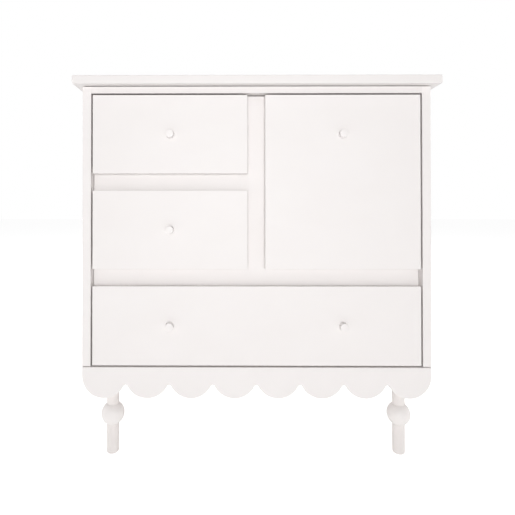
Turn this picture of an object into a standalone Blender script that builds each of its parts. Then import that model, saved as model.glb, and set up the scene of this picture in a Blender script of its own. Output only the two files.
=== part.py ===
"""A miniature chest of drawers, one sixth of full size.

Painted boards make a carcass that stands on four dowel legs, each with a round bead, behind a
scalloped skirt. A recessed face frame, shaped like a T with a side arm, stops four inset drawers:
two shallow ones on the left, a deep one on the right and a wide one along the bottom.

Lengths are in metres. X is the width, Y the depth with the front facing -Y, and Z is up. The
origin is on the floor under the middle of the whole chest.
"""

import math

import bmesh
import bpy
from mathutils import Matrix, Vector

MM = 0.001

# Driving sizes of the carcass
CARCASS_WIDTH = 123.0 * MM
CARCASS_DEPTH = 60.0 * MM
OPENING_HEIGHT = 96.7 * MM  # from the base board up to the carcass top panel
BASE_HEIGHT = 33.05 * MM  # from the floor to the upper face of the base board
SIDE_THICKNESS = 3.0 * MM
BASE_THICKNESS = 3.0 * MM
CARCASS_TOP_THICKNESS = 2.35 * MM
TOP_BOARD_THICKNESS = 3.0 * MM
TOP_BOARD_OVERHANG = 2.9 * MM  # past the front and both sides; the back is flush
BACK_THICKNESS = 2.0 * MM
SHELF_THICKNESS = 2.0 * MM
DIVIDER_THICKNESS = 3.0 * MM
GLUE_GAP = 0.3 * MM  # between pieces that touch

# Face frame
FRAME_THICKNESS = 3.0 * MM
FRAME_RECESS = 3.1 * MM  # behind the front of the carcass
RAIL_SHOWING = 6.0 * MM
POST_SHOWING = 6.3 * MM
FRONT_LAP = 2.0 * MM  # a drawer front covers this much of the frame

# Drawers
EDGE_GAP = 0.6 * MM  # between a drawer front and the carcass
RUN_CLEARANCE = 0.4 * MM  # between a drawer box and the frame
BOX_INSET = 0.4 * MM  # of a box from the free edge of its front
BOX_WALL = 2.0 * MM
BOX_BOTTOM = 1.5 * MM
BACK_CLEARANCE = 2.0 * MM  # between a closed drawer and the back panel

# Knobs
KNOB_DIAMETER = 2.9 * MM
KNOB_PROJECTION = 2.3 * MM
KNOB_ROUNDING = 0.15 * MM
SPIGOT_DIAMETER = 1.6 * MM
SPIGOT_LENGTH = 2.0 * MM

# Scalloped skirt
SKIRT_THICKNESS = 3.0 * MM
SKIRT_HEIGHT = 11.0 * MM
SCALLOP_PITCH = 15.4 * MM  # adjusted to a whole number of scallops across the carcass
SCALLOP_OVERLAP = 0.26 * MM  # of neighbouring circles, past the line between them
NOTCH_RADIUS = 0.7 * MM
SCALLOP_STEPS = 12
NOTCH_STEPS = 4

# Legs
LEG_DIAMETER = 4.4 * MM
LEG_INSET = 9.3 * MM  # of a leg's axis from the outside of the side panel
LEG_SETBACK = 6.2 * MM  # of a leg's axis from the front or the back of the carcass
LEG_ROUNDING = 0.7 * MM
TENON_DIAMETER = 3.0 * MM
BEAD_DIAMETER = 8.3 * MM
BEAD_HEIGHT = 14.2 * MM  # of a bead's middle above the floor

# Fineness
BOARD_CHAMFER = 0.2 * MM
ROUND_STEPS = 24
BEAD_STEPS = 10
KNOB_STEPS = 3
FOOT_STEPS = 4
MERGE_DISTANCE = 0.0001 * MM
SMOOTH_ANGLE = math.radians(40)

# Planes that the pieces share
FRONT = -(CARCASS_DEPTH + TOP_BOARD_OVERHANG) / 2 + TOP_BOARD_OVERHANG
BACK = FRONT + CARCASS_DEPTH
SIDE_OUTSIDE = CARCASS_WIDTH / 2
SIDE_INSIDE = SIDE_OUTSIDE - SIDE_THICKNESS
OPENING_TOP = BASE_HEIGHT + OPENING_HEIGHT
CARCASS_TOP = OPENING_TOP + CARCASS_TOP_THICKNESS
TOP_BOARD_UNDERSIDE = CARCASS_TOP + GLUE_GAP
BACK_PANEL_FACE = BACK - BACK_THICKNESS
FRAME_FACE = FRONT + FRAME_RECESS
FRAME_BACK = FRAME_FACE + FRAME_THICKNESS
FRONT_THICKNESS = FRAME_RECESS - GLUE_GAP
POST_HALF = POST_SHOWING / 2 + FRONT_LAP
FRONT_HEIGHT = (OPENING_HEIGHT - 2 * EDGE_GAP - 2 * RAIL_SHOWING) / 3
FRONT_EDGE = SIDE_INSIDE - EDGE_GAP
LAPPED_INSET = FRONT_LAP + RUN_CLEARANCE
BOTTOM_FRONT_LOW = BASE_HEIGHT + EDGE_GAP
MIDDLE_FRONT_LOW = BOTTOM_FRONT_LOW + FRONT_HEIGHT + RAIL_SHOWING
UPPER_FRONT_LOW = MIDDLE_FRONT_LOW + FRONT_HEIGHT + RAIL_SHOWING
LONG_SHELF_TOP = MIDDLE_FRONT_LOW + FRONT_LAP
LEFT_SHELF_TOP = UPPER_FRONT_LOW + FRONT_LAP

PAINT_COLOUR = (0.87, 0.85, 0.83, 1.0)
PAINT_ROUGHNESS = 0.45
BIRCH_COLOUR = (0.76, 0.62, 0.43, 1.0)
BIRCH_ROUGHNESS = 0.6


def clear_scene():
    """Remove whatever the file opened with."""
    for thing in list(bpy.data.objects):
        bpy.data.objects.remove(thing, do_unlink=True)


def make_material(name, colour, roughness):
    """Return a non-metallic Principled material."""
    material = bpy.data.materials.new(name)
    material.use_nodes = True
    shader = material.node_tree.nodes["Principled BSDF"]
    shader.inputs["Base Color"].default_value = colour
    shader.inputs["Roughness"].default_value = roughness
    shader.inputs["Metallic"].default_value = 0.0
    return material


def make_paint(name):
    """Return satin off-white lacquer for one piece."""
    return make_material(f"{name}_paint", PAINT_COLOUR, PAINT_ROUGHNESS)


def make_birch(name):
    """Return bare birch for one piece."""
    return make_material(f"{name}_birch", BIRCH_COLOUR, BIRCH_ROUGHNESS)


def make_empty(name, location):
    """Return an empty that holds the pieces of one sub-assembly."""
    empty = bpy.data.objects.new(name, None)
    empty.location = location
    bpy.context.collection.objects.link(empty)
    return empty


def place(shape, name, location, parent, material):
    """Make a mesh object of a bmesh at a world location, under its parent empty."""
    mesh = bpy.data.meshes.new(name)
    shape.to_mesh(mesh)
    shape.free()
    piece = bpy.data.objects.new(name, mesh)
    bpy.context.collection.objects.link(piece)
    piece.parent = parent
    piece.location = Vector(location) - parent.location
    if material:
        mesh.materials.append(material)
    return piece


def add_board(name, low, high, parent, material, chamfer=0.0):
    """Add a flat board between two opposite corners."""
    low = Vector(low)
    high = Vector(high)
    shape = bmesh.new()
    bmesh.ops.create_cube(shape, size=1.0)
    bmesh.ops.scale(shape, vec=high - low, verts=shape.verts)
    board = place(shape, name, (low + high) / 2, parent, material)
    if chamfer:
        bevel = board.modifiers.new("chamfer", "BEVEL")
        bevel.width = chamfer
        bevel.segments = 1
        bevel.limit_method = "NONE"
    return board


def add_hole(board, location, diameter, length, turn):
    """Drill through a board with a round cutter centred at a world location."""
    shape = bmesh.new()
    bmesh.ops.create_cone(
        shape,
        cap_ends=True,
        segments=ROUND_STEPS,
        radius1=diameter / 2,
        radius2=diameter / 2,
        depth=length,
    )
    bmesh.ops.rotate(shape, cent=(0, 0, 0), matrix=turn, verts=shape.verts)
    count = len(board.modifiers)
    cutter = place(shape, f"{board.name}_drill_{count}", location, board.parent, None)
    cutter.hide_render = True
    cutter.display_type = "WIRE"
    drill = board.modifiers.new(f"drill_{count}", "BOOLEAN")
    drill.operation = "DIFFERENCE"
    drill.solver = "EXACT"
    drill.object = cutter


def add_turned(name, profile, closed, location, parent, material):
    """Turn a profile of (radius, height) points, listed from top to bottom, about Z."""
    shape = bmesh.new()
    points = [shape.verts.new((radius, 0.0, height)) for radius, height in profile]
    edges = [shape.edges.new(pair) for pair in zip(points, points[1:])]
    if closed:
        edges.append(shape.edges.new((points[-1], points[0])))
    bmesh.ops.spin(
        shape,
        geom=points + edges,
        cent=(0, 0, 0),
        axis=(0, 0, 1),
        angle=math.tau,
        steps=ROUND_STEPS,
        use_merge=True,
    )
    bmesh.ops.remove_doubles(shape, verts=shape.verts, dist=MERGE_DISTANCE)
    bmesh.ops.recalc_face_normals(shape, faces=shape.faces)
    piece = place(shape, name, location, parent, material)
    piece.data.shade_smooth()
    piece.data.set_sharp_from_angle(angle=SMOOTH_ANGLE)
    return piece


def add_outline(name, outline, thickness, location, parent, material):
    """Cut an outline of (x, z) points from a board whose front face is at the location."""
    shape = bmesh.new()
    corners = [shape.verts.new((x, 0.0, z)) for x, z in outline]
    face = shape.faces.new(corners)
    grown = bmesh.ops.extrude_face_region(shape, geom=[face])
    moved = [item for item in grown["geom"] if isinstance(item, bmesh.types.BMVert)]
    bmesh.ops.translate(shape, vec=(0.0, thickness, 0.0), verts=moved)
    bmesh.ops.recalc_face_normals(shape, faces=shape.faces)
    return place(shape, name, location, parent, material)


def arc(centre, radius, start, end, steps):
    """Return the points of an arc in a plane, from one angle to another."""
    angles = [start + (end - start) * step / steps for step in range(steps + 1)]
    x, z = centre
    return [(x + radius * math.cos(a), z + radius * math.sin(a)) for a in angles]


def skirt_outline():
    """Return the skirt's outline, from its upper left corner down and along the scallops."""
    count = max(2, round(CARCASS_WIDTH / SCALLOP_PITCH))
    half = CARCASS_WIDTH / count / 2
    radius = half + SCALLOP_OVERLAP
    low = -SKIRT_HEIGHT
    reach = radius + NOTCH_RADIUS
    drop = math.sqrt(reach * reach - half * half)
    tangent = math.atan2(drop, half)  # below the level of the circle's centre
    outline = [(-SIDE_OUTSIDE, 0.0)]
    for number in range(count):
        x = -SIDE_OUTSIDE + half * (2 * number + 1)
        middle = (x, low + radius)
        if number == 0:
            corner = (x, low + half)
            outline += arc(corner, half, math.pi, 1.5 * math.pi, SCALLOP_STEPS // 2)
            outline += arc(middle, radius, 1.5 * math.pi, math.tau - tangent, SCALLOP_STEPS // 2)[1:]
        elif number < count - 1:
            outline += arc(middle, radius, math.pi + tangent, math.tau - tangent, SCALLOP_STEPS)
        else:
            corner = (x, low + half)
            outline += arc(middle, radius, math.pi + tangent, 1.5 * math.pi, SCALLOP_STEPS // 2)
            outline += arc(corner, half, 1.5 * math.pi, math.tau, SCALLOP_STEPS // 2)[1:]
        if number < count - 1:
            notch = (x + half, low + radius - drop)
            outline += arc(notch, NOTCH_RADIUS, math.pi - tangent, tangent, NOTCH_STEPS)[1:-1]
    outline.append((SIDE_OUTSIDE, 0.0))
    return outline


def frame_outline():
    """Return the face frame's outline about X = 0 with Z from the floor."""
    end = SIDE_INSIDE - GLUE_GAP
    long_low = MIDDLE_FRONT_LOW - RAIL_SHOWING - FRONT_LAP
    arm_low = UPPER_FRONT_LOW - RAIL_SHOWING - FRONT_LAP
    top = OPENING_TOP - GLUE_GAP
    return [
        (-end, long_low),
        (end, long_low),
        (end, LONG_SHELF_TOP),
        (POST_HALF, LONG_SHELF_TOP),
        (POST_HALF, top),
        (-POST_HALF, top),
        (-POST_HALF, LEFT_SHELF_TOP),
        (-end, LEFT_SHELF_TOP),
        (-end, arm_low),
        (-POST_HALF, arm_low),
        (-POST_HALF, LONG_SHELF_TOP),
        (-end, LONG_SHELF_TOP),
    ]


def add_shell(chest):
    """Add the boards that show from outside."""
    board_half = SIDE_OUTSIDE + TOP_BOARD_OVERHANG
    add_board(
        "top_board",
        (-board_half, FRONT - TOP_BOARD_OVERHANG, TOP_BOARD_UNDERSIDE),
        (board_half, BACK, TOP_BOARD_UNDERSIDE + TOP_BOARD_THICKNESS),
        chest,
        make_paint("top_board"),
        BOARD_CHAMFER,
    )
    inner = SIDE_INSIDE - GLUE_GAP
    add_board(
        "carcass_top_panel",
        (-inner, FRONT, OPENING_TOP),
        (inner, BACK, CARCASS_TOP),
        chest,
        make_paint("carcass_top_panel"),
    )
    for name, near, far in (
        ("side_panel_left", -SIDE_OUTSIDE, -SIDE_INSIDE),
        ("side_panel_right", SIDE_INSIDE, SIDE_OUTSIDE),
    ):
        add_board(
            name,
            (near, FRONT, BASE_HEIGHT + GLUE_GAP),
            (far, BACK, CARCASS_TOP),
            chest,
            make_paint(name),
            BOARD_CHAMFER,
        )
    add_board(
        "back_panel",
        (-inner, BACK_PANEL_FACE, BASE_HEIGHT + GLUE_GAP),
        (inner, BACK, OPENING_TOP - GLUE_GAP),
        chest,
        make_paint("back_panel"),
    )


def add_interior(chest):
    """Add the face frame and the boards behind it that carry and part the drawers."""
    add_outline(
        "face_frame",
        frame_outline(),
        FRAME_THICKNESS,
        (0.0, FRAME_FACE, 0.0),
        chest,
        make_paint("face_frame"),
    )
    near = FRAME_BACK + GLUE_GAP
    far = BACK_PANEL_FACE - GLUE_GAP
    inner = SIDE_INSIDE - GLUE_GAP
    divider_half = DIVIDER_THICKNESS / 2
    add_board(
        "long_shelf",
        (-inner, near, LONG_SHELF_TOP - SHELF_THICKNESS),
        (inner, far, LONG_SHELF_TOP),
        chest,
        make_birch("long_shelf"),
    )
    add_board(
        "centre_divider",
        (-divider_half, near, LONG_SHELF_TOP + GLUE_GAP),
        (divider_half, far, OPENING_TOP - GLUE_GAP),
        chest,
        make_birch("centre_divider"),
    )
    add_board(
        "left_shelf",
        (-inner, near, LEFT_SHELF_TOP - SHELF_THICKNESS),
        (-divider_half - GLUE_GAP, far, LEFT_SHELF_TOP),
        chest,
        make_birch("left_shelf"),
    )


def leg_profile(top, shoulder):
    """Return a dowel with a tenon, from its top down to its rounded foot at Z = 0."""
    radius = LEG_DIAMETER / 2
    tenon = TENON_DIAMETER / 2
    edge = (radius - LEG_ROUNDING, LEG_ROUNDING)
    foot = arc(edge, LEG_ROUNDING, 0.0, -math.pi / 2, FOOT_STEPS)
    return [(0.0, top), (tenon, top), (tenon, shoulder), (radius, shoulder)] + foot + [(0.0, 0.0)]


def bead_profile():
    """Return a ball about Z = 0 with a bore that clears the dowel."""
    radius = BEAD_DIAMETER / 2
    bore = LEG_DIAMETER / 2 + GLUE_GAP
    rim = math.acos(bore / radius)
    return arc((0.0, 0.0), radius, rim, -rim, BEAD_STEPS)


def add_base(chest):
    """Add the base board, the skirt in front of it and the four legs under it."""
    skirt_back = FRONT + SKIRT_THICKNESS
    underside = BASE_HEIGHT - BASE_THICKNESS
    base = add_board(
        "base_board",
        (-SIDE_OUTSIDE, skirt_back + GLUE_GAP, underside),
        (SIDE_OUTSIDE, BACK, BASE_HEIGHT),
        chest,
        make_paint("base_board"),
    )
    add_outline(
        "scalloped_skirt",
        skirt_outline(),
        SKIRT_THICKNESS,
        (0.0, FRONT, BASE_HEIGHT),
        chest,
        make_paint("scalloped_skirt"),
    )
    socket = TENON_DIAMETER + 2 * GLUE_GAP
    leg_x = SIDE_OUTSIDE - LEG_INSET
    profile = leg_profile(BASE_HEIGHT - GLUE_GAP, underside - GLUE_GAP)
    for depth_name, y in (("front", FRONT + LEG_SETBACK), ("rear", BACK - LEG_SETBACK)):
        for side_name, x in (("left", -leg_x), ("right", leg_x)):
            corner = f"{depth_name}_{side_name}"
            middle = (x, y, underside + BASE_THICKNESS / 2)
            add_hole(base, middle, socket, 2 * BASE_THICKNESS, Matrix.Identity(3))
            leg = f"leg_dowel_{corner}"
            add_turned(leg, profile, False, (x, y, 0.0), chest, make_paint(leg))
            bead = f"leg_bead_{corner}"
            spot = (x, y, BEAD_HEIGHT)
            add_turned(bead, bead_profile(), True, spot, chest, make_paint(bead))


def knob_profile():
    """Return a knob with its spigot below Z = 0, the plane of the drawer front."""
    radius = KNOB_DIAMETER / 2
    spigot = SPIGOT_DIAMETER / 2
    corner = (radius - KNOB_ROUNDING, KNOB_PROJECTION - KNOB_ROUNDING)
    rim = arc(corner, KNOB_ROUNDING, math.pi / 2, 0.0, KNOB_STEPS)
    tail = [(radius, GLUE_GAP), (spigot, GLUE_GAP), (spigot, -SPIGOT_LENGTH), (0.0, -SPIGOT_LENGTH)]
    return [(0.0, KNOB_PROJECTION)] + rim + tail


def add_knob(name, x, z, holder, front):
    """Drill a drawer front and add the knob whose spigot goes into the hole."""
    hole = SPIGOT_DIAMETER + 2 * GLUE_GAP
    across = Matrix.Rotation(math.pi / 2, 3, "X")
    add_hole(front, (x, FRONT + FRONT_THICKNESS / 2, z), hole, 2 * FRONT_THICKNESS, across)
    knob = add_turned(name, knob_profile(), False, (x, FRONT, z), holder, make_paint(name))
    knob.rotation_euler = (math.pi / 2, 0.0, 0.0)


def add_drawer(drawer, left, right, low, high, box_left, box_right, box_low, knobs):
    """Add one drawer: a front, a box of five boards behind it and its knobs.

    left, right, low and high bound the front. box_left, box_right and box_low bound the box,
    whose top is set by the frame above it. knobs maps each knob's name to its X.
    """
    holder = make_empty(drawer, ((left + right) / 2, FRONT, low))
    front = add_board(
        f"{drawer}_front",
        (left, FRONT, low),
        (right, FRONT + FRONT_THICKNESS, high),
        holder,
        make_paint(f"{drawer}_front"),
        BOARD_CHAMFER,
    )
    near = FRONT + FRONT_THICKNESS + GLUE_GAP
    far = BACK_PANEL_FACE - BACK_CLEARANCE
    wall_low = box_low + BOX_BOTTOM + GLUE_GAP
    wall_high = high - LAPPED_INSET
    boards = {
        "bottom": ((box_left, near, box_low), (box_right, far, box_low + BOX_BOTTOM)),
        "side_left": ((box_left, near, wall_low), (box_left + BOX_WALL, far, wall_high)),
        "side_right": ((box_right - BOX_WALL, near, wall_low), (box_right, far, wall_high)),
        "back": (
            (box_left + BOX_WALL + GLUE_GAP, far - BOX_WALL, wall_low),
            (box_right - BOX_WALL - GLUE_GAP, far, wall_high),
        ),
    }
    for board, (lowest, highest) in boards.items():
        name = f"{drawer}_{board}"
        add_board(name, lowest, highest, holder, make_birch(name))
    for name, (x, z) in knobs.items():
        add_knob(name, x, z, holder, front)


def add_drawers():
    """Add the two shallow drawers, the deep one beside them and the wide one below."""
    post_edge = POST_SHOWING / 2
    knob_x = (FRONT_EDGE + post_edge) / 2
    half = FRONT_HEIGHT / 2
    upper_high = UPPER_FRONT_LOW + FRONT_HEIGHT
    for drawer, low, shelf in (
        ("upper_drawer", UPPER_FRONT_LOW, LEFT_SHELF_TOP),
        ("middle_drawer", MIDDLE_FRONT_LOW, LONG_SHELF_TOP),
    ):
        add_drawer(
            drawer,
            -FRONT_EDGE,
            -post_edge,
            low,
            low + FRONT_HEIGHT,
            -FRONT_EDGE + BOX_INSET,
            -post_edge - LAPPED_INSET,
            shelf + GLUE_GAP,
            {f"{drawer}_knob": (-knob_x, low + half)},
        )
    add_drawer(
        "deep_drawer",
        post_edge,
        FRONT_EDGE,
        MIDDLE_FRONT_LOW,
        upper_high,
        post_edge + LAPPED_INSET,
        FRONT_EDGE - BOX_INSET,
        LONG_SHELF_TOP + GLUE_GAP,
        {"deep_drawer_knob": (knob_x, upper_high - half)},
    )
    knob_z = BOTTOM_FRONT_LOW + half
    add_drawer(
        "bottom_drawer",
        -FRONT_EDGE,
        FRONT_EDGE,
        BOTTOM_FRONT_LOW,
        BOTTOM_FRONT_LOW + FRONT_HEIGHT,
        -FRONT_EDGE + BOX_INSET,
        FRONT_EDGE - BOX_INSET,
        BASE_HEIGHT + GLUE_GAP,
        {
            "bottom_drawer_knob_left": (-knob_x, knob_z),
            "bottom_drawer_knob_right": (knob_x, knob_z),
        },
    )


def main():
    """Build the chest."""
    clear_scene()
    chest = make_empty("chest_carcass", (0.0, 0.0, 0.0))
    add_shell(chest)
    add_interior(chest)
    add_base(chest)
    add_drawers()


main()
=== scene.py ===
"""The looks of a miniature chest of drawers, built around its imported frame.

Each board, dowel, bead and knob of the frame is stood for by a finished piece: boards with eased
edges, a skirt cut to its scallops, turned legs and knobs, and drawer boxes with comb joints. The
outside is satin off-white lacquer. The drawer boxes and the boards that carry them are bare birch
plywood. Lengths are in metres, X is the width, the front faces -Y and Z is up.
"""

import logging
import math
from collections.abc import Iterable
from dataclasses import dataclass, field
from enum import Enum

import bmesh
import bpy
from bmesh.types import BMEdge, BMesh, BMVert
from mathutils import Matrix, Vector


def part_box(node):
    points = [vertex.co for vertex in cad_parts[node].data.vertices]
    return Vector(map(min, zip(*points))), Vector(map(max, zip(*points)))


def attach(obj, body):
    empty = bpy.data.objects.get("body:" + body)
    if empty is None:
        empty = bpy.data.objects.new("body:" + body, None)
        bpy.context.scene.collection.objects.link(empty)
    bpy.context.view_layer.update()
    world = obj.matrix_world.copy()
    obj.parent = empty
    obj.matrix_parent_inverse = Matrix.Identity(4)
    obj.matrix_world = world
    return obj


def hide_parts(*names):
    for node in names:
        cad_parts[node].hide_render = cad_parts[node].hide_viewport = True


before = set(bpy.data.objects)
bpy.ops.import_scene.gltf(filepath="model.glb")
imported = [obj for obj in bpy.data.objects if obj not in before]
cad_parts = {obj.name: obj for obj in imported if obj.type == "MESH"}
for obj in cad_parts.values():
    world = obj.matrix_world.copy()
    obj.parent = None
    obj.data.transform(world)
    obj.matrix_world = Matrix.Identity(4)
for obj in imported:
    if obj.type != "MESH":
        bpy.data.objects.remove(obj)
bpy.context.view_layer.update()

Colour = tuple[float, float, float]
Point = tuple[float, float, float]
Span = tuple[float, float]
Socket = bpy.types.NodeSocket

MM = 0.001
WELD = 0.0002 * MM  # vertices nearer than this are one
GLUE_GAP = 0.3 * MM  # what the frame leaves open between glued pieces
SHARP = math.radians(50.0)  # edges over this angle stay crisp
QUARTER = math.pi / 2
ORIGIN: Point = (0.0, 0.0, 0.0)
UP: Point = (0.0, 0.0, 1.0)
TOWARDS_FRONT: Point = (0.0, -1.0, 0.0)
WHITE: Colour = (1.0, 1.0, 1.0)
WHOLE: Span = (0.0, 1.0)
NOISE_SPAN: Span = (0.3, 0.7)  # where nearly all of a noise lies
FINE_RELIEF = 0.03 * MM
PLACE = "place"  # the vertex attribute that materials read
FIGURE_SHIFT = 0.0618  # moves the figure from one piece to the next

log = logging.getLogger("chest")


class Axis(Enum):
    """A direction in the chest's own frame."""

    WIDTH = 0
    DEPTH = 1
    HEIGHT = 2

    def unit(self) -> Vector:
        """Return the axis as a unit vector."""
        return Vector([1.0 if self.value == number else 0.0 for number in range(3)])


@dataclass(frozen=True)
class Lie:
    """How the wood of a piece lies.

    Args:
        grain: the axis that its fibres follow.
        through: the axis of its thickness.
    """

    grain: Axis
    through: Axis

    def across(self) -> Axis:
        """Return the axis across the fibres and in the plane of the board."""
        return next(axis for axis in Axis if axis not in (self.grain, self.through))


SHELF_LIE = Lie(Axis.WIDTH, Axis.HEIGHT)
FRONT_LIE = Lie(Axis.WIDTH, Axis.DEPTH)
SIDE_LIE = Lie(Axis.HEIGHT, Axis.WIDTH)
RUNNER_LIE = Lie(Axis.DEPTH, Axis.WIDTH)
LEG_LIE = Lie(Axis.HEIGHT, Axis.DEPTH)
KNOB_LIE = Lie(Axis.DEPTH, Axis.HEIGHT)
BOTTOM_LIE = Lie(Axis.DEPTH, Axis.HEIGHT)


class NodeBench:
    """Lays out the shader nodes of one material.

    Args:
        name: the material's name.
    """

    def __init__(self, name: str) -> None:
        """Start an empty material with its shader and output."""
        self.material = bpy.data.materials.new(name)
        self.material.use_nodes = True
        self.tree = self.material.node_tree
        self.shader = self.tree.nodes["Principled BSDF"]

    def add(
        self, kind: str, inputs: dict[str, object] | None = None, **settings: object
    ) -> bpy.types.Node:
        """Add one node.

        Args:
            kind: the node's type name.
            inputs: values of its input sockets, or output sockets to link to them.
            settings: properties of the node itself.

        Returns:
            The new node.
        """
        node = self.tree.nodes.new(kind)
        for key, value in settings.items():
            setattr(node, key, value)
        for key, value in (inputs or {}).items():
            self.feed(node.inputs[key], value)
        return node

    def feed(self, socket: Socket, value: object) -> None:
        """Link an output socket to an input socket, or set the input's value.

        Args:
            socket: the input socket.
            value: an output socket, or a plain value.
        """
        if isinstance(value, bpy.types.NodeSocket):
            self.tree.links.new(value, socket)
        else:
            socket.default_value = value

    def place(self, scale: Point) -> Socket:
        """Read the piece's own coordinates.

        Args:
            scale: of the pattern along the grain, across it and through the board, per metre.

        Returns:
            The scaled coordinates.
        """
        source = self.add("ShaderNodeAttribute", attribute_name=PLACE)
        mapped = self.add("ShaderNodeMapping", {"Vector": source.outputs["Vector"], "Scale": scale})
        return mapped.outputs["Vector"]

    def noise(self, scale: Point, detail: float, roughness: float = 0.5) -> Socket:
        """Return a noise from 0 to 1 that lies along the piece's grain."""
        inputs = {"Vector": self.place(scale), "Scale": 1.0, "Detail": detail, "Roughness": roughness}
        return self.add("ShaderNodeTexNoise", inputs).outputs["Fac"]

    def math(self, operation: str, first: object, second: object = 0.0) -> Socket:
        """Do one sum.

        Args:
            operation: its name.
            first: a socket or a number.
            second: a socket or a number.

        Returns:
            The result.
        """
        node = self.add("ShaderNodeMath", operation=operation)
        self.feed(node.inputs[0], first)
        self.feed(node.inputs[1], second)
        return node.outputs["Value"]

    def spread(self, value: Socket, source: Span, target: Span) -> Socket:
        """Move a value from one range to another and hold it inside.

        Args:
            value: what is moved.
            source: the range that it has.
            target: the range that it gets.

        Returns:
            The moved value.
        """
        ends = {"From Min": source[0], "From Max": source[1], "To Min": target[0], "To Max": target[1]}
        return self.add("ShaderNodeMapRange", {"Value": value, **ends}).outputs["Result"]

    def blend(self, factor: object, first: object, second: object) -> Socket:
        """Mix two colours.

        Args:
            factor: how much of the second there is.
            first: a socket or a colour.
            second: a socket or a colour.

        Returns:
            The mix.
        """
        node = self.add("ShaderNodeMix", data_type="RGBA")
        self.feed(node.inputs["Factor"], factor)
        self.feed(node.inputs["A"], first)
        self.feed(node.inputs["B"], second)
        return node.outputs["Result"]

    def bump(self, relief: Socket, strength: float) -> None:
        """Give the surface a fine relief.

        Args:
            relief: its height, from 0 to 1.
            strength: how much of it shows.
        """
        inputs = {"Height": relief, "Strength": strength, "Distance": FINE_RELIEF}
        self.feed(self.shader.inputs["Normal"], self.add("ShaderNodeBump", inputs).outputs["Normal"])


def opaque(colour: Colour) -> tuple[float, float, float, float]:
    """Return a colour with full alpha."""
    return (*colour, 1.0)


@dataclass(frozen=True)
class Lacquer:
    """Satin paint sprayed over sanded wood.

    Args:
        name: the material's name.
        slot: the record's material slot; not used.
        colour: where the coat lies full.
        thin: where it lies a little thinner.
        roughness: of the dry coat.
        peel: the height of the spray's fine ripple.
        grain: how much of the fibres' relief the coat lets through.
    """

    name: str
    slot: str
    colour: Colour
    thin: Colour
    roughness: float = 0.5
    peel: float = 0.35
    grain: float = 0.5

    CLOUD_SCALE = (70.0, 110.0, 110.0)
    FIBRE_SCALE = (90.0, 1900.0, 1900.0)
    RIPPLE_SCALE = (1500.0, 1500.0, 1500.0)
    GLOSS_CHANGE = 0.03
    RELIEF = 0.35

    def material(self) -> bpy.types.Material:
        """Mix the lacquer.

        Returns:
            A new material.
        """
        bench = NodeBench(self.name)
        cloud = bench.noise(self.CLOUD_SCALE, detail=3.0)
        fibres = bench.noise(self.FIBRE_SCALE, detail=4.0, roughness=0.6)
        ripple = bench.noise(self.RIPPLE_SCALE, detail=2.0)
        coat = bench.spread(cloud, NOISE_SPAN, WHOLE)
        tint = bench.blend(coat, opaque(self.colour), opaque(self.thin))
        bench.feed(bench.shader.inputs["Base Color"], tint)
        glossy_to_dull = (self.roughness - self.GLOSS_CHANGE, self.roughness + self.GLOSS_CHANGE)
        bench.feed(bench.shader.inputs["Roughness"], bench.spread(ripple, NOISE_SPAN, glossy_to_dull))
        wood = bench.math("MULTIPLY", fibres, self.grain)
        spray = bench.math("MULTIPLY", ripple, self.peel)
        bench.bump(bench.math("ADD", wood, spray), self.RELIEF)
        return bench.material


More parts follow.
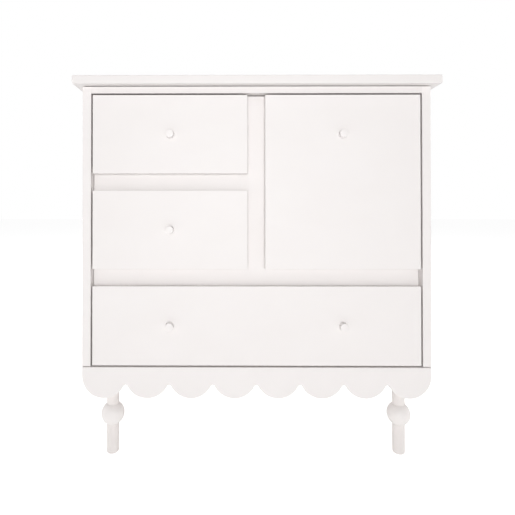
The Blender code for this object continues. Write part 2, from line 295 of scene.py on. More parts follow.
@dataclass(frozen=True)
class BirchPly:
    """Bare sanded birch plywood, whose plies show on its cut edges.

    Args:
        slot: the record's material slot.
        sheet: the thickness of the sheet.
        plies: how many it has, an odd number.
        pale: the wood between its streaks.
        streak: the darker wood of its figure.
        fleck: its short dark pores.
        cut: the end grain of every other ply.
    """

    slot: str
    sheet: float
    plies: int
    pale: Colour = (0.80, 0.66, 0.47)
    streak: Colour = (0.68, 0.52, 0.34)
    fleck: Colour = (0.50, 0.34, 0.20)
    cut: Colour = (0.43, 0.28, 0.16)

    FIBRE_SCALE = (60.0, 1300.0, 1300.0)
    FIGURE_SCALE = (14.0, 150.0, 150.0)
    FLECK_SCALE = (420.0, 2600.0, 2600.0)
    FIBRE_SHARE = 0.6
    FIGURE_SHARE = 0.4
    STREAK_SPAN = (0.38, 0.66)
    FLECK_SPAN = (0.64, 0.72)
    FLECK_DEPTH = (0.0, 0.55)
    ROUGHNESS = (0.55, 0.68)
    RELIEF = 0.5
    INSIDE_SHARE = 0.98  # keeps the outer faces clear of the last glue line
    GLUE_LINE = (0.0, 0.12)  # part of a ply that its glue line darkens less
    CUT_DEPTH = (0.75, 0.85)

    def material(self) -> bpy.types.Material:
        """Lay up the plywood.

        Returns:
            A new material.
        """
        bench = NodeBench(f"{self.slot}_{self.sheet / MM:.1f}")
        fibres = bench.noise(self.FIBRE_SCALE, detail=5.0, roughness=0.62)
        figure = bench.noise(self.FIGURE_SCALE, detail=2.0)
        pores = bench.noise(self.FLECK_SCALE, detail=2.0)
        fine = bench.math("MULTIPLY", fibres, self.FIBRE_SHARE)
        broad = bench.math("MULTIPLY", figure, self.FIGURE_SHARE)
        streaks = bench.spread(bench.math("ADD", fine, broad), self.STREAK_SPAN, WHOLE)
        flecks = bench.spread(pores, self.FLECK_SPAN, self.FLECK_DEPTH)
        figured = bench.blend(streaks, opaque(self.pale), opaque(self.streak))
        face = bench.blend(flecks, figured, opaque(self.fleck))
        tint = bench.blend(self.edge_plies(bench), face, opaque(self.cut))
        bench.feed(bench.shader.inputs["Base Color"], tint)
        bench.feed(bench.shader.inputs["Roughness"], bench.spread(fibres, NOISE_SPAN, self.ROUGHNESS))
        bench.bump(fibres, self.RELIEF)
        return bench.material

    def edge_plies(self, bench: NodeBench) -> Socket:
        """Return how much of the darker end grain shows: every other ply, never the two outer ones.

        Args:
            bench: the material's nodes.

        Returns:
            A socket that is 0 on the outer plies.
        """
        per_ply = self.INSIDE_SHARE * self.plies / self.sheet
        source = bench.add("ShaderNodeAttribute", attribute_name=PLACE)
        through = bench.add("ShaderNodeSeparateXYZ", {"Vector": source.outputs["Vector"]}).outputs["Z"]
        count = bench.math("ADD", bench.math("MULTIPLY", through, per_ply), self.plies / 2)
        wave = bench.math("PINGPONG", count, 1.0)
        turned = bench.math("FLOOR", count)
        odd = bench.math("MODULO", turned, 2.0)
        soft = bench.spread(wave, self.GLUE_LINE, self.CUT_DEPTH)
        return bench.math("MULTIPLY", odd, soft)


Finish = Lacquer | BirchPly

OFF_WHITE: Colour = (0.843, 0.810, 0.799)
THIN_WHITE: Colour = (0.836, 0.801, 0.789)
# A darker copy of the off-white: painted shade for the band of panel under the top board's overhang.
PANEL_SHADE_WHITE: Colour = (0.795, 0.762, 0.750)
# A darker copy of the off-white: painted shade on the legs, low down where less light reaches them.
LEG_SHADE_WHITE: Colour = (0.800, 0.758, 0.738)
# A lighter copy of the off-white: painted light that lifts the shade on the beads' rounded flanks.
BEAD_LIT_WHITE: Colour = (0.850, 0.812, 0.792)
CASE_LACQUER = Lacquer("case_lacquer", "case_lacquer", OFF_WHITE, THIN_WHITE)
# The case paint darkened: painted shade under the top board.
PANEL_SHADE_LACQUER = Lacquer("panel_shade_lacquer", "case_lacquer", PANEL_SHADE_WHITE, PANEL_SHADE_WHITE)
FRONT_LACQUER = Lacquer("front_lacquer", "front_lacquer", OFF_WHITE, THIN_WHITE)
# The case paint darkened: painted shade on the dowel legs.
LEG_SHADE_LACQUER = Lacquer("leg_lacquer", "leg_lacquer", LEG_SHADE_WHITE, LEG_SHADE_WHITE, peel=0.3, grain=0.4)
# The case paint lightened: painted light on the beads.
BEAD_LIT_LACQUER = Lacquer("bead_lit_lacquer", "leg_lacquer", BEAD_LIT_WHITE, OFF_WHITE, peel=0.3, grain=0.4)
KNOB_LACQUER = Lacquer(
    "knob_lacquer", "knob_lacquer", OFF_WHITE, THIN_WHITE, roughness=0.42, peel=0.2, grain=0.2
)
WALL_PLY = BirchPly("bare_birch", sheet=2.0 * MM, plies=5)
BOTTOM_PLY = BirchPly("bare_birch", sheet=1.5 * MM, plies=3)
DIVIDER_PLY = BirchPly("bare_birch", sheet=3.0 * MM, plies=7)


class Pen:
    """Draws an outline in the XZ plane, a line or an arc at a time.

    Args:
        x: where the outline starts.
        z: where the outline starts.
    """

    def __init__(self, x: float, z: float) -> None:
        """Put the pen down on the first corner."""
        self.shape = bmesh.new()
        self.start: BMVert = self.shape.verts.new((x, 0.0, z))
        self.tip = self.start

    def line(self, x: float, z: float) -> None:
        """Draw a straight line to a point.

        Args:
            x: the point.
            z: the point.
        """
        grown = bmesh.ops.extrude_vert_indiv(self.shape, verts=[self.tip])
        self.tip = grown["verts"][0]
        self.tip.co = (x, 0.0, z)

    def arc(self, x: float, z: float, turn: float, steps: int) -> None:
        """Draw an arc about a centre.

        Args:
            x: the centre.
            z: the centre.
            turn: the angle, anticlockwise as seen from the front.
            steps: how many chords it has.
        """
        swept = bmesh.ops.spin(
            self.shape,
            geom=[self.tip],
            cent=(x, 0.0, z),
            axis=TOWARDS_FRONT,
            angle=turn,
            steps=steps,
        )
        self.tip = next(item for item in swept["geom_last"] if isinstance(item, BMVert))

    def cut_out(self, thickness: float) -> BMesh:
        """Close the outline and cut it from a board.

        Args:
            thickness: of the board, towards +Y.

        Returns:
            The closed shape.
        """
        self.shape.edges.new((self.tip, self.start))
        bmesh.ops.remove_doubles(self.shape, verts=self.shape.verts[:], dist=WELD)
        made = bmesh.ops.contextual_create(self.shape, geom=self.shape.edges[:])
        grown = bmesh.ops.extrude_face_region(self.shape, geom=made["faces"])
        moved = [item for item in grown["geom"] if isinstance(item, BMVert)]
        bmesh.ops.translate(self.shape, vec=(0.0, thickness, 0.0), verts=moved)
        bmesh.ops.recalc_face_normals(self.shape, faces=self.shape.faces[:])
        return self.shape

    def turn_round(self, steps: int, ring: bool = False) -> BMesh:
        """Turn the outline about Z, with its X as the radius.

        Args:
            steps: how many sides a full turn has.
            ring: whether the outline closes on itself away from the axis.

        Returns:
            The closed shape.
        """
        if ring:
            self.shape.edges.new((self.tip, self.start))
        outline = self.shape.verts[:] + self.shape.edges[:]
        bmesh.ops.spin(
            self.shape,
            geom=outline,
            cent=ORIGIN,
            axis=UP,
            angle=math.tau,
            steps=steps,
            use_merge=True,
        )
        bmesh.ops.remove_doubles(self.shape, verts=self.shape.verts[:], dist=WELD)
        bmesh.ops.recalc_face_normals(self.shape, faces=self.shape.faces[:])
        return self.shape


@dataclass
class Block:
    """A straight-edged board between two opposite corners.

    Args:
        low: the lowest corner.
        high: the highest corner.
    """

    low: Vector
    high: Vector

    @classmethod
    def of(cls, node: str) -> "Block":
        """Return the board that a frame node takes up."""
        low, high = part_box(node)
        return cls(low.copy(), high.copy())

    def grown(self, below: Point = ORIGIN, above: Point = ORIGIN) -> "Block":
        """Return a board that reaches further.

        Args:
            below: how much further down each axis.
            above: how much further up each axis.

        Returns:
            The larger board.
        """
        return Block(self.low - Vector(below), self.high + Vector(above))

    def middle(self) -> Vector:
        """Return the board's centre."""
        return (self.low + self.high) / 2

    def size(self) -> Vector:
        """Return the board's three sides."""
        return self.high - self.low

    def shape(self) -> BMesh:
        """Saw the board out.

        Returns:
            A square-edged shape in place.
        """
        shape = bmesh.new()
        bmesh.ops.create_cube(shape, size=1.0)
        bmesh.ops.scale(shape, vec=self.size(), verts=shape.verts[:])
        bmesh.ops.translate(shape, vec=self.middle(), verts=shape.verts[:])
        return shape


def ease(shape: BMesh, edges: Iterable[BMEdge], radius: float, segments: int = 3) -> None:
    """Round edges over.

    Args:
        shape: what the edges belong to.
        edges: which edges.
        radius: of the rounding.
        segments: how many facets it has.
    """
    bmesh.ops.bevel(
        shape,
        geom=list(edges),
        offset=radius,
        offset_type="OFFSET",
        affect="EDGES",
        segments=segments,
        profile=0.5,
        material=-1,
        clamp_overlap=True,
    )


def ease_all(shape: BMesh, radius: float, segments: int = 3) -> None:
    """Round every edge of a shape over."""
    ease(shape, shape.edges[:], radius, segments)


@dataclass(frozen=True)
class Hole:
    """A round hole drilled right through a board.

    Args:
        centre: a point on its axis, in the middle of the board.
        radius: of the hole.
        depth: of the drill, more than the board's thickness.
        along: the hole's axis.
        sides: how many facets it has.
    """

    centre: Vector
    radius: float
    depth: float
    along: Axis
    sides: int = 48

    def cutter(self) -> BMesh:
        """Build the drill.

        Returns:
            Its shape, in place.
        """
        shape = bmesh.new()
        bmesh.ops.create_cone(
            shape,
            cap_ends=True,
            segments=self.sides,
            radius1=self.radius,
            radius2=self.radius,
            depth=self.depth,
        )
        turn = Vector(UP).rotation_difference(self.along.unit()).to_matrix()
        bmesh.ops.rotate(shape, cent=ORIGIN, matrix=turn, verts=shape.verts[:])
        bmesh.ops.translate(shape, vec=self.centre, verts=shape.verts[:])
        return shape


def loose_object(shape: BMesh, name: str) -> bpy.types.Object:
    """Make a shape an object of the scene.

    Args:
        shape: the shape; it is used up.
        name: the object's name.

    Returns:
        The object.
    """
    mesh = bpy.data.meshes.new(name)
    shape.to_mesh(mesh)
    shape.free()
    thing = bpy.data.objects.new(name, mesh)
    bpy.context.scene.collection.objects.link(thing)
    return thing


def drilled(shape: BMesh, holes: Iterable[Hole]) -> BMesh:
    """Drill holes through a shape.

    Args:
        shape: what is drilled; it is used up.
        holes: where and how wide.

    Returns:
        The drilled shape.
    """
    board = loose_object(shape, "board_on_the_drill")
    drills = [loose_object(hole.cutter(), "drill") for hole in holes]
    for drill in drills:
        cut = board.modifiers.new("hole", "BOOLEAN")
        cut.operation = "DIFFERENCE"
        cut.solver = "EXACT"
        cut.object = drill
    done = bmesh.new()
    done.from_object(board, bpy.context.evaluated_depsgraph_get())
    for thing in [board, *drills]:
        mesh = thing.data
        bpy.data.objects.remove(thing)
        bpy.data.meshes.remove(mesh)
    return done


@dataclass
class Bench:
    """Where finished shapes become pieces of the chest.

    Args:
        body: the frame body that the pieces ride on.
        coats: the materials made so far, by finish.
        made: the names of the pieces made so far.
    """

    body: str
    coats: dict[Finish, bpy.types.Material] = field(default_factory=dict)
    made: list[str] = field(default_factory=list)

    LARGE_FACES_LEAD = 100

    def for_body(self, body: str) -> "Bench":
        """Return a bench for another body that shares this one's finishes and list."""
        return Bench(body, self.coats, self.made)

    def coat(self, finish: Finish) -> bpy.types.Material:
        """Find or make the material of a finish.

        Args:
            finish: the finish.

        Returns:
            Its one material.
        """
        if finish not in self.coats:
            self.coats[finish] = finish.material()
        return self.coats[finish]

    def deliver(self, shape: BMesh, node: str, finish: Finish, lie: Lie) -> bpy.types.Object:
        """Make a shape the piece that stands for a frame node.

        Args:
            shape: the finished shape, in place; it is used up.
            node: the frame node.
            finish: what it is dressed in.
            lie: how its wood lies.

        Returns:
            The piece.
        """
        piece = loose_object(shape, f"{node}_finished")
        mark_place(piece.data, lie, FIGURE_SHIFT * len(self.made))
        piece.data.shade_smooth()
        piece.data.set_sharp_from_angle(angle=SHARP)
        piece.data.materials.append(self.coat(finish))
        even = piece.modifiers.new("even_normals", "WEIGHTED_NORMAL")
        even.weight = self.LARGE_FACES_LEAD
        even.keep_sharp = True
        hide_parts(node)
        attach(piece, self.body)
        self.made.append(piece.name)
        log.info("%s: %d faces, on %s", piece.name, len(piece.data.polygons), self.body)
        return piece


def mark_place(mesh: bpy.types.Mesh, lie: Lie, shift: float) -> None:
    """Store each vertex's place in the piece's own wood, for its material.

    Args:
        mesh: the piece's mesh.
        lie: how its wood lies.
        shift: moves the figure, so that no two pieces are alike.
    """
    block = Block(
        Vector([min(vertex.co[i] for vertex in mesh.vertices) for i in range(3)]),
        Vector([max(vertex.co[i] for vertex in mesh.vertices) for i in range(3)]),
    )
    centre = block.middle()
    values: list[float] = []
    for vertex in mesh.vertices:
        own = vertex.co - centre
        values += [own[lie.grain.value] + shift, own[lie.across().value] + shift, own[lie.through.value]]
    place = mesh.attributes.new(PLACE, "FLOAT_VECTOR", "POINT")
    place.data.foreach_set("vector", values)


@dataclass
class Carcass:
    """The boards that stand still around the drawers.

    Args:
        bench: where the pieces are finished.
        easing: the rounding of the top board's edges.
        fine_easing: the rounding of the other boards' edges.
        hairline: what is left open at a glued joint.
        top_segments: how many facets the top board's edges have.
        shelf_segments: how many facets the shelves' edges have.
        drill_depth: of the drill for the leg sockets.
    """

    bench: Bench
    easing: float = 0.3 * MM
    fine_easing: float = 0.08 * MM
    hairline: float = 0.04 * MM
    top_segments: int = 4
    shelf_segments: int = 2
    drill_depth: float = 10.0 * MM

    def reach(self) -> float:
        """Return how far a glued board reaches past its frame node."""
        return GLUE_GAP - self.hairline

    def build(self) -> None:
        """Build every board of the carcass."""
        self.build_top_board()
        self.build_sides()
        self.build_top_panel()
        self.build_back_panel()
        self.build_base_board()
        self.build_shelves()

    def build_top_board(self) -> None:
        """Build the overhanging top board."""
        shape = Block.of("top_board").shape()
        ease_all(shape, self.easing, self.top_segments)
        self.bench.deliver(shape, "top_board", CASE_LACQUER, SHELF_LIE)

    def build_sides(self) -> None:
        """Build the side panels, left sharp where the top panel meets them flush."""
        joint = Block.of("carcass_top_panel").low.z
        for node, outside in (("side_panel_left", -1.0), ("side_panel_right", 1.0)):
            board = Block.of(node)
            shape = board.shape()
            for level in (joint, joint + self.hairline):
                bmesh.ops.bisect_plane(
                    shape,
                    geom=shape.verts[:] + shape.edges[:] + shape.faces[:],
                    plane_co=(0.0, 0.0, level),
                    plane_no=UP,
                )
            inner_x = board.low.x if outside > 0 else board.high.x
            edges = [edge for edge in shape.edges if self.shows(edge, inner_x, joint)]
            ease(shape, edges, self.fine_easing)
            self.bench.deliver(shape, node, CASE_LACQUER, SIDE_LIE)

    def shows(self, edge: BMEdge, inner_x: float, joint: float) -> bool:
        """Tell whether an edge of a side panel is eased.

        Args:
            edge: the edge.
            inner_x: where the panel's inner face is.
            joint: the underside of the top panel.

        Returns:
            False for the edges of the joint and of the cut across the panel.
        """
        first, second = (vertex.co for vertex in edge.verts)
        middle = (first + second) / 2
        across = abs(first.z - second.z) < WELD and joint - WELD < middle.z < joint + 2 * self.hairline
        in_joint = abs(middle.x - inner_x) < WELD and middle.z > joint
        return not across and not in_joint

    def build_top_panel(self) -> None:
        """Build the panel under the top board, flush with the sides and closed up to them, in a darker
        copy of the lacquer that is painted shade from the top board's overhang.
        """
        board = Block.of("carcass_top_panel").grown((GLUE_GAP, 0.0, 0.0), (GLUE_GAP, 0.0, 0.0))
        shape = board.shape()
        long_and_low = [
            edge
            for edge in shape.edges
            if all(vertex.co.z < board.low.z + WELD for vertex in edge.verts)
            and abs(edge.verts[0].co.x - edge.verts[1].co.x) > WELD
        ]
        ease(shape, long_and_low, self.fine_easing)
        # The panel's coat is painted shade: a darker copy of the case lacquer.
        self.bench.deliver(shape, "carcass_top_panel", PANEL_SHADE_LACQUER, SHELF_LIE)

    def build_back_panel(self) -> None:
        """Build the back, let in between the sides."""
        reach = self.reach()
        shape = Block.of("back_panel").grown((reach, 0.0, reach), (reach, 0.0, reach)).shape()
        ease_all(shape, self.fine_easing)
        self.bench.deliver(shape, "back_panel", CASE_LACQUER, FRONT_LIE)

    def build_base_board(self) -> None:
        """Build the base board with its four leg sockets."""
        board = Block.of("base_board").grown((0.0, self.reach(), 0.0))
        shape = board.shape()
        ease_all(shape, self.fine_easing)
        bore = LegPlace.TENON_RADIUS + self.hairline
        holes: list[Hole] = []
        for corner in LegPlace.CORNERS:
            spot = LegPlace.of(corner).middle()
            spot.z = board.middle().z
            holes.append(Hole(spot, bore, self.drill_depth, Axis.HEIGHT))
        self.bench.deliver(drilled(shape, holes), "base_board", CASE_LACQUER, SHELF_LIE)

    def build_shelves(self) -> None:
        """Build the shelves and the divider that the drawers run on and between."""
        reach = self.reach()
        around = (reach, reach, 0.0)
        upright = (0.0, reach, reach)
        for node, margin, finish, lie in (
            ("long_shelf", around, WALL_PLY, SHELF_LIE),
            ("left_shelf", around, WALL_PLY, SHELF_LIE),
            ("centre_divider", upright, DIVIDER_PLY, RUNNER_LIE),
        ):
            shape = Block.of(node).grown(margin, margin).shape()
            ease_all(shape, self.fine_easing / 2, self.shelf_segments)
            self.bench.deliver(shape, node, finish, lie)


@dataclass
class FaceFrame:
    """The recessed frame that shows between the drawer fronts, cut from one board.

    Args:
        bench: where the piece is finished.
        easing: the rounding of its edges.
        reach: how far its ends go past its frame node, to the sides.
    """

    bench: Bench
    easing: float = 0.15 * MM
    reach: float = 0.22 * MM

    def build(self) -> None:
        """Build the frame as a T with a side arm."""
        ends = (self.reach, 0.0, 0.0)
        whole = Block.of("face_frame").grown(ends, ends)
        left, right = whole.low.x, whole.high.x
        long_shelf = Block.of("long_shelf").high.z
        left_shelf = Block.of("left_shelf").high.z
        rail = long_shelf - whole.low.z
        post = Block.of("deep_drawer_side_left").low.x - Drawer.RUN_CLEARANCE
        pen = Pen(left, whole.low.z)
        pen.line(right, whole.low.z)
        pen.line(right, long_shelf)
        pen.line(post, long_shelf)
        pen.line(post, whole.high.z)
        pen.line(-post, whole.high.z)
        pen.line(-post, left_shelf)
        pen.line(left, left_shelf)
        pen.line(left, left_shelf - rail)
        pen.line(-post, left_shelf - rail)
        pen.line(-post, long_shelf)
        pen.line(left, long_shelf)
        shape = pen.cut_out(whole.size().y)
        bmesh.ops.translate(shape, vec=(0.0, whole.low.y, 0.0), verts=shape.verts[:])
        ease_all(shape, self.easing)
        self.bench.deliver(shape, "face_frame", CASE_LACQUER, FRONT_LIE)


@dataclass
class Skirt:
    """The scalloped board below the drawers.

    Args:
        bench: where the piece is finished.
        scallops: how many it has.
        overlap: how far neighbouring circles reach past the line between them.
        notch: the radius at the top of a notch.
        easing: the rounding of its edges.
        steps: how many facets a scallop has.
    """

    bench: Bench
    scallops: int = 8
    overlap: float = 0.26 * MM
    notch: float = 0.7 * MM
    easing: float = 0.2 * MM
    steps: int = 28

    def build(self) -> None:
        """Build the skirt."""
        board = Block.of("scalloped_skirt")
        half = board.size().x / self.scallops / 2
        radius = half + self.overlap
        reach = radius + self.notch
        drop = math.sqrt(reach * reach - half * half)
        tangent = math.atan2(drop, half)
        lobe = math.pi - 2 * tangent
        low = board.low.z
        pen = Pen(board.low.x, board.high.z)
        pen.line(board.low.x, low + half)
        for number in range(self.scallops):
            x = board.low.x + half * (2 * number + 1)
            first = number == 0
            last = number == self.scallops - 1
            if first:
                pen.arc(x, low + half, QUARTER, self.steps // 2)
            if not first and not last:
                pen.arc(x, low + radius, lobe, self.steps)
            else:
                pen.arc(x, low + radius, lobe / 2, self.steps // 2)
            if last:
                pen.arc(x, low + half, QUARTER, self.steps // 2)
            else:
                pen.arc(x + half, low + radius - drop, -lobe, self.steps // 3)
        pen.line(board.high.x, board.high.z)
        shape = pen.cut_out(board.size().y)
        bmesh.ops.translate(shape, vec=(0.0, board.low.y, 0.0), verts=shape.verts[:])
        ease(shape, self.rim(shape), self.easing)
        self.bench.deliver(shape, "scalloped_skirt", CASE_LACQUER, FRONT_LIE)

    def rim(self, shape: BMesh) -> list[BMEdge]:
        """Return the edges round the skirt's two broad faces."""
        broad = [face for face in shape.faces if max(face.normal, key=abs) == face.normal.y]
        return sorted({edge for face in broad for edge in face.edges}, key=lambda edge: edge.index)


@dataclass
class LegPlace:
    """One leg of the frame, read from its nodes.

    Args:
        dowel: the space of the dowel.
        bead: the space of the bead.
    """

    CORNERS = ("front_left", "front_right", "rear_left", "rear_right")
    TENON_RADIUS = 1.5 * MM  # of the dowel's end in the base board

    dowel: Block
    bead: Block

    @classmethod
    def of(cls, corner: str) -> "LegPlace":
        """Return the leg at a corner."""
        return cls(Block.of(f"leg_dowel_{corner}"), Block.of(f"leg_bead_{corner}"))

    def middle(self) -> Vector:
        """Return the middle of the dowel."""
        return self.dowel.middle()

    def radius(self) -> float:
        """Return the dowel's radius."""
        return self.dowel.size().x / 2


@dataclass
class Leg:
    """A dowel leg and the bead on it.

    Args:
        bench: where the pieces are finished.
        corner: which corner it stands at.
        foot_easing: the rounding of the sawn foot.
        shoulder_easing: the rounding of the tenon and of the shoulder under it.
        hairline: what is left open round the dowel in its bead.
        lip: the easing of the bead's bore.
        sides: how many facets a full turn has.
        foot_steps: how many facets the foot's rounding has.
        shoulder_steps: how many facets the shoulder's rounding has.
    """

    bench: Bench
    corner: str
    foot_easing: float = 0.7 * MM
    shoulder_easing: float = 0.1 * MM
    hairline: float = 0.015 * MM
    lip: float = 0.06 * MM
    sides: int = 64
    foot_steps: int = 8
    shoulder_steps: int = 3

    def build(self) -> None:
        """Build the dowel and the bead."""
        place = LegPlace.of(self.corner)
        self.build_dowel(place)
        self.build_bead(place)

    def build_dowel(self, place: LegPlace) -> None:
        """Build the dowel with its tenon and eased foot.

        Args:
            place: where the leg stands.
        """
        radius = place.radius()
        tenon = place.TENON_RADIUS
        top = place.dowel.high.z
        shoulder = Block.of("base_board").low.z - self.hairline
        foot = self.foot_easing
        edge = self.shoulder_easing
        pen = Pen(0.0, top)
        pen.line(tenon - edge, top)
        pen.arc(tenon - edge, top - edge, -QUARTER, self.shoulder_steps)
        pen.line(tenon, shoulder)
        pen.line(radius - edge, shoulder)
        pen.arc(radius - edge, shoulder - edge, -QUARTER, self.shoulder_steps)
        pen.line(radius, foot)
        pen.arc(radius - foot, foot, -QUARTER, self.foot_steps)
        pen.line(0.0, 0.0)
        shape = pen.turn_round(self.sides)
        spot = place.middle()
        bmesh.ops.translate(shape, vec=(spot.x, spot.y, 0.0), verts=shape.verts[:])
        # The dowel's coat is painted shade: a darker copy of the case lacquer.
        self.bench.deliver(shape, f"leg_dowel_{self.corner}", LEG_SHADE_LACQUER, LEG_LIE)

    def build_bead(self, place: LegPlace) -> None:
        """Build the bead, a ball bored for the dowel with the lips of its bore eased.

        Args:
            place: where the leg stands.
        """
        ball = place.bead.size().x / 2
        bore = place.radius() + self.hairline
        rim = math.acos((bore + self.lip) / ball)
        high = ball * math.sin(rim)
        pen = Pen(bore + self.lip, high)
        pen.arc(0.0, 0.0, -2 * rim, self.sides // 2)
        pen.line(bore, -high + self.lip)
        pen.line(bore, high - self.lip)
        shape = pen.turn_round(self.sides, ring=True)
        bmesh.ops.translate(shape, vec=place.bead.middle(), verts=shape.verts[:])
        # The bead's coat is painted light: a lighter copy of the case lacquer.
        self.bench.deliver(shape, f"leg_bead_{self.corner}", BEAD_LIT_LACQUER, LEG_LIE)


@dataclass
class Knob:
    """A turned knob whose spigot is glued into a drawer front.

    Args:
        bench: where the piece is finished.
        node: the frame node it stands for.
        rounding: of the rim.
        crown: how far the middle of the face stands above its rim.
        flare: the fillet of lacquer where the knob meets the front.
        hairline: what is left open round the spigot and behind the knob.
        spigot_radius: of the spigot.
        spigot_short: how far the spigot's end stays inside the front's rear face.
        sides: how many facets a full turn has.
        steps: how many facets a rounding has.
    """

    bench: Bench
    node: str
    rounding: float = 0.15 * MM
    crown: float = 0.05 * MM
    flare: float = 0.14 * MM
    hairline: float = 0.02 * MM
    spigot_radius: float = 0.8 * MM
    spigot_short: float = 0.12 * MM
    sides: int = 56
    steps: int = 5

    def hole(self, front: Block) -> Hole:
        """Plan the hole for the knob's spigot.

        Args:
            front: the board that it is drilled through.

        Returns:
            The hole.
        """
        spot = Block.of(self.node).middle()
        centre = Vector((spot.x, front.middle().y, spot.z))
        return Hole(centre, self.spigot_radius + self.hairline, 2 * front.size().y, Axis.DEPTH)

    def build(self, front: Block) -> None:
        """Build the knob, turned about Z and laid down towards the front.

        Args:
            front: the board that it is fixed to.
        """
        space = Block.of(self.node)
        radius = space.size().x / 2
        top = front.low.y - space.low.y
        round_z = top - self.crown - self.rounding
        pen = Pen(0.0, top)
        pen.line((radius - self.rounding) / 2, top - self.crown / 3)
        pen.line(radius - self.rounding, top - self.crown)
        pen.arc(radius - self.rounding, round_z, -QUARTER, self.steps)
        pen.line(radius, self.hairline + self.flare)
        pen.arc(radius + self.flare, self.hairline + self.flare, QUARTER, self.steps)
        pen.line(self.spigot_radius, self.hairline)
        spigot_end = self.spigot_short - front.size().y
        pen.line(self.spigot_radius, spigot_end)
        pen.line(0.0, spigot_end)
        shape = pen.turn_round(self.sides)
        lay_down = Matrix.Rotation(QUARTER, 3, "X")
        bmesh.ops.rotate(shape, cent=ORIGIN, matrix=lay_down, verts=shape.verts[:])
        spot = Vector((space.middle().x, front.low.y, space.middle().z))
        bmesh.ops.translate(shape, vec=spot, verts=shape.verts[:])
        self.bench.deliver(shape, self.node, KNOB_LACQUER, KNOB_LIE)


@dataclass
class Drawer:
    """One drawer: a lacquered front with its knobs on a comb-jointed box of birch plywood.

    Args:
        bench: where the pieces are finished.
        name: the drawer's name, which starts the names of its nodes.
        knobs: how its knobs' names end.
        fingers: how many fingers and slots a corner of the box has.
        easing: the rounding of the front's edges.
        wall_easing: the rounding of the box's edges.
        hairline: what is left open at the box's joints.
        front_segments: how many facets the front's edges have.
        wall_segments: how many facets the box's edges have.
    """

    RUN_CLEARANCE = 0.4 * MM  # between a box and the face frame

    bench: Bench
    name: str
    knobs: tuple[str, ...] = ("knob",)
    fingers: int = 5
    easing: float = 0.09 * MM
    wall_easing: float = 0.06 * MM
    hairline: float = 0.03 * MM
    front_segments: int = 4
    wall_segments: int = 2

    def reach(self) -> float:
        """Return how far a board of the box reaches past its frame node."""
        return GLUE_GAP - self.hairline

    def build(self) -> None:
        """Build the front, the knobs and the box."""
        self.build_front()
        self.build_bottom()
        self.build_side("side_left")
        self.build_side("side_right")
        self.build_back()

    def build_front(self) -> None:
        """Build the front with its knobs."""
        board = Block.of(f"{self.name}_front")
        knobs = [Knob(self.bench, f"{self.name}_{ending}") for ending in self.knobs]
        shape = board.shape()
        ease_all(shape, self.easing, self.front_segments)
        front = drilled(shape, [knob.hole(board) for knob in knobs])
        self.bench.deliver(front, f"{self.name}_front", FRONT_LACQUER, FRONT_LIE)
        for knob in knobs:
            knob.build(board)

    def build_bottom(self) -> None:
        """Build the bottom that the walls stand on."""
        shape = Block.of(f"{self.name}_bottom").grown((0.0, self.reach(), 0.0)).shape()
        ease_all(shape, self.wall_easing, self.wall_segments)
        self.bench.deliver(shape, f"{self.name}_bottom", BOTTOM_PLY, BOTTOM_LIE)

    def wall_space(self, board: str) -> Block:
        """Return a wall's space, closed down to the bottom."""
        return Block.of(f"{self.name}_{board}").grown((0.0, 0.0, self.reach()))

    def comb(
        self, pen: Pen, out: float, back: float, low: float, high: float, starts_out: bool
    ) -> None:
        """Draw the fingers at one end of a wall, from one height to another.

        Args:
            pen: draws them, and stands at the end's first corner.
            out: how far a finger reaches.
            back: where the slots between fingers end.
            low: the height at which the end starts.
            high: the height at which it stops, which may be lower.
            starts_out: whether the lowest part is a finger.
        """
        step = (high - low) / self.fingers
        rising = step > 0
        for number in range(self.fingers):
            from_low = number if rising else self.fingers - 1 - number
            finger = (from_low % 2 == 0) == starts_out
            x = out if finger else back
            trim = self.hairline / 2 * (1.0 if finger else -1.0) * (1.0 if rising else -1.0)
            start = low + number * step + (trim if number else 0.0)
            end = low + (number + 1) * step - (trim if number < self.fingers - 1 else 0.0)
            pen.line(x, start)
            pen.line(x, end)

    def build_side(self, board: str) -> None:
        """Build a side wall, with fingers at its rear end.

        Args:
            board: which side.
        """
        space = self.wall_space(board).grown((0.0, self.reach(), 0.0))
        wall = space.size().x
        pen = Pen(space.low.y, space.high.z)
        pen.line(space.low.y, space.low.z)
        self.comb(pen, space.high.y, space.high.y - wall, space.low.z, space.high.z, True)
        shape = pen.cut_out(wall)
        towards_side = Matrix.Rotation(QUARTER, 3, "Z")
        bmesh.ops.rotate(shape, cent=ORIGIN, matrix=towards_side, verts=shape.verts[:])
        bmesh.ops.translate(shape, vec=(space.high.x, 0.0, 0.0), verts=shape.verts[:])
        ease_all(shape, self.wall_easing, self.wall_segments)
        self.bench.deliver(shape, f"{self.name}_{board}", WALL_PLY, RUNNER_LIE)

    def build_back(self) -> None:
        """Build the back wall, with fingers at both ends that fill the sides' slots."""
        space = self.wall_space("back")
        left = Block.of(f"{self.name}_side_left")
        right = Block.of(f"{self.name}_side_right")
        left_slot = left.high.x + self.hairline
        right_slot = right.low.x - self.hairline
        pen = Pen(left_slot, space.low.z)
        self.comb(pen, right.high.x, right_slot, space.low.z, space.high.z, False)
        self.comb(pen, left.low.x, left_slot, space.high.z, space.low.z, False)
        shape = pen.cut_out(space.size().y)
        bmesh.ops.translate(shape, vec=(0.0, space.low.y, 0.0), verts=shape.verts[:])
        bmesh.ops.remove_doubles(shape, verts=shape.verts[:], dist=WELD)
        ease_all(shape, self.wall_easing, self.wall_segments)
        self.bench.deliver(shape, f"{self.name}_back", WALL_PLY, FRONT_LIE)


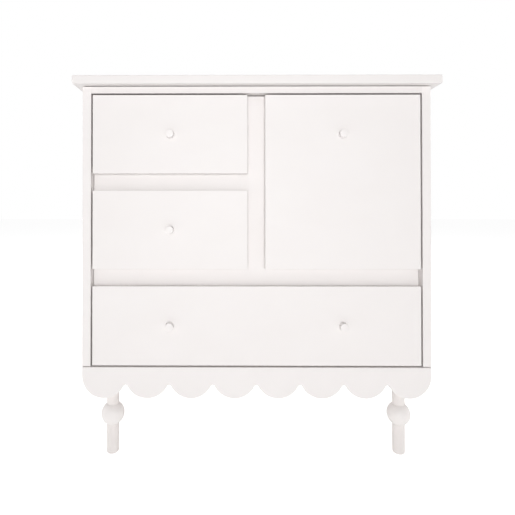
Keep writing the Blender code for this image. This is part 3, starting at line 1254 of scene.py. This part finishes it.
@dataclass(frozen=True)
class SoftBox:
    """A round soft lamp.

    Args:
        name: the lamp's name.
        place: where it hangs.
        aim: what it points at.
        strength: how brightly it lights what it points at; 1 makes a white sheet there white.
        spread: the angle of the beam that a grid on its face lets out, half a turn without one.
        width: of its face.
    """

    name: str
    place: Point
    aim: Point
    strength: float
    spread: float = math.pi
    width: float = 0.4

    def let_out(self) -> float:
        """Return the share of the light that passes the grid."""
        half = self.spread / 2
        return 1.0 - half / math.tan(half)

    def hang(self) -> None:
        """Hang the lamp, out of the camera's sight."""
        reach = Vector(self.aim) - Vector(self.place)
        lamp = bpy.data.lights.new(self.name, "AREA")
        lamp.shape = "DISK"
        lamp.size = self.width
        lamp.spread = self.spread
        lamp.energy = self.strength * math.pi**2 * reach.length_squared * self.let_out()
        holder = bpy.data.objects.new(self.name, lamp)
        holder.location = self.place
        holder.rotation_euler = reach.to_track_quat("-Z", "Y").to_euler()
        holder.visible_camera = False
        bpy.context.scene.collection.objects.link(holder)


@dataclass
class Studio:
    """The pale floor, the soft light and the camera.

    Args:
        eye: where the camera is.
        aim: what it points at.
        focal: its focal length in millimetres.
        sensor: the width of its sensor in millimetres.
        shift: how far the picture is slid over the lens.
        sight: the nearest and the furthest that it sees.
        floor_side: the width of the floor.
        floor_colour: the floor's own colour.
        floor_roughness: of the floor.
        floor_light: how brightly the floor shines on the chest.
        floor_glow: how brightly it shines for the camera, so that it blends with the room.
        room: how brightly the room shines on the chest.
        lamps: the soft lamps.
    """

    eye: Vector = field(default_factory=lambda: Vector((-8.9, -176.45, 89.3)) * MM)
    aim: Vector = field(default_factory=lambda: Vector((-9.71, -28.55, 90.6)) * MM)
    focal: float = 29.29
    sensor: float = 36.0
    shift: Span = (0.0557, -0.1043)
    sight: Span = (1.0 * MM, 20.0)
    floor_side: float = 6.0
    floor_colour: Colour = (0.8, 0.8, 0.8)
    floor_roughness: float = 0.9
    floor_light: float = 0.3
    floor_glow: float = 0.8
    room: float = 0.22
    lamps: tuple[SoftBox, ...] = (
        SoftBox("lamp_front", (-0.02, -0.83, 0.12), (-0.012, -0.0286, 0.1), 0.8, math.radians(70.0)),
        SoftBox("lamp_high", (0.0, -0.4, 0.5), (0.0, -0.03, 0.08), 0.1),
        SoftBox("lamp_left", (-0.7, 0.12, 0.12), (0.0, 0.0, 0.06), 0.35),
        SoftBox("lamp_right", (0.7, 0.12, 0.12), (0.0, 0.0, 0.06), 0.35),
        SoftBox("lamp_above", (0.0, 0.12, 0.8), (0.0, 0.0, 0.13), 0.4),
        SoftBox("lamp_behind", (0.0, 0.8, 0.25), (0.0, 0.0, 0.07), 0.4),
    )

    def build(self) -> None:
        """Build the floor, the lights and the camera."""
        bpy.context.scene.view_settings.view_transform = "Standard"
        self.build_floor()
        self.build_room()
        for lamp in self.lamps:
            lamp.hang()
        self.build_camera()

    def build_floor(self) -> None:
        """Lay the floor just under the feet."""
        shape = bmesh.new()
        bmesh.ops.create_grid(shape, x_segments=1, y_segments=1, size=self.floor_side / 2)
        floor = loose_object(shape, "floor")
        bench = NodeBench("pale_floor")
        seen = bench.add("ShaderNodeLightPath").outputs["Is Camera Ray"]
        bench.feed(bench.shader.inputs["Base Color"], opaque(self.floor_colour))
        bench.feed(bench.shader.inputs["Roughness"], self.floor_roughness)
        bench.feed(bench.shader.inputs["Specular IOR Level"], 0.0)
        bench.feed(bench.shader.inputs["Emission Color"], opaque(WHITE))
        glow = bench.spread(seen, WHOLE, (self.floor_light, self.floor_glow))
        bench.feed(bench.shader.inputs["Emission Strength"], glow)
        floor.data.materials.append(bench.material)

    def build_room(self) -> None:
        """Surround the chest with an even room that the camera sees as white."""
        world = bpy.data.worlds.new("white_room")
        world.use_nodes = True
        tree = world.node_tree
        sky = tree.nodes["Background"]
        path = tree.nodes.new("ShaderNodeLightPath")
        level = tree.nodes.new("ShaderNodeMapRange")
        level.inputs["To Min"].default_value = self.room
        level.inputs["To Max"].default_value = 1.0
        tree.links.new(path.outputs["Is Camera Ray"], level.inputs["Value"])
        tree.links.new(level.outputs["Result"], sky.inputs["Strength"])
        sky.inputs["Color"].default_value = opaque(WHITE)
        bpy.context.scene.world = world

    def build_camera(self) -> None:
        """Stand the camera close in front of the chest."""
        lens = bpy.data.cameras.new("camera")
        lens.lens = self.focal
        lens.sensor_width = self.sensor
        lens.shift_x, lens.shift_y = self.shift
        lens.clip_start, lens.clip_end = self.sight
        camera = bpy.data.objects.new("camera", lens)
        camera.location = self.eye
        camera.rotation_euler = (self.aim - self.eye).to_track_quat("-Z", "Y").to_euler()
        bpy.context.scene.collection.objects.link(camera)
        bpy.context.scene.camera = camera


def main() -> None:
    """Build the studio and every piece of the chest."""
    logging.basicConfig(level=logging.INFO, format="%(name)s: %(message)s")
    Studio().build()
    bench = Bench("carcass")
    Carcass(bench).build()
    FaceFrame(bench).build()
    Skirt(bench).build()
    for corner in LegPlace.CORNERS:
        Leg(bench, corner).build()
    Drawer(bench.for_body("upper_drawer"), "upper_drawer").build()
    Drawer(bench.for_body("middle_drawer"), "middle_drawer").build()
    Drawer(bench.for_body("deep_drawer"), "deep_drawer", fingers=11).build()
    Drawer(bench.for_body("bottom_drawer"), "bottom_drawer", ("knob_left", "knob_right")).build()
    log.info("%d pieces stand for %d frame nodes", len(bench.made), len(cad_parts))


if __name__ == "__main__":
    main()
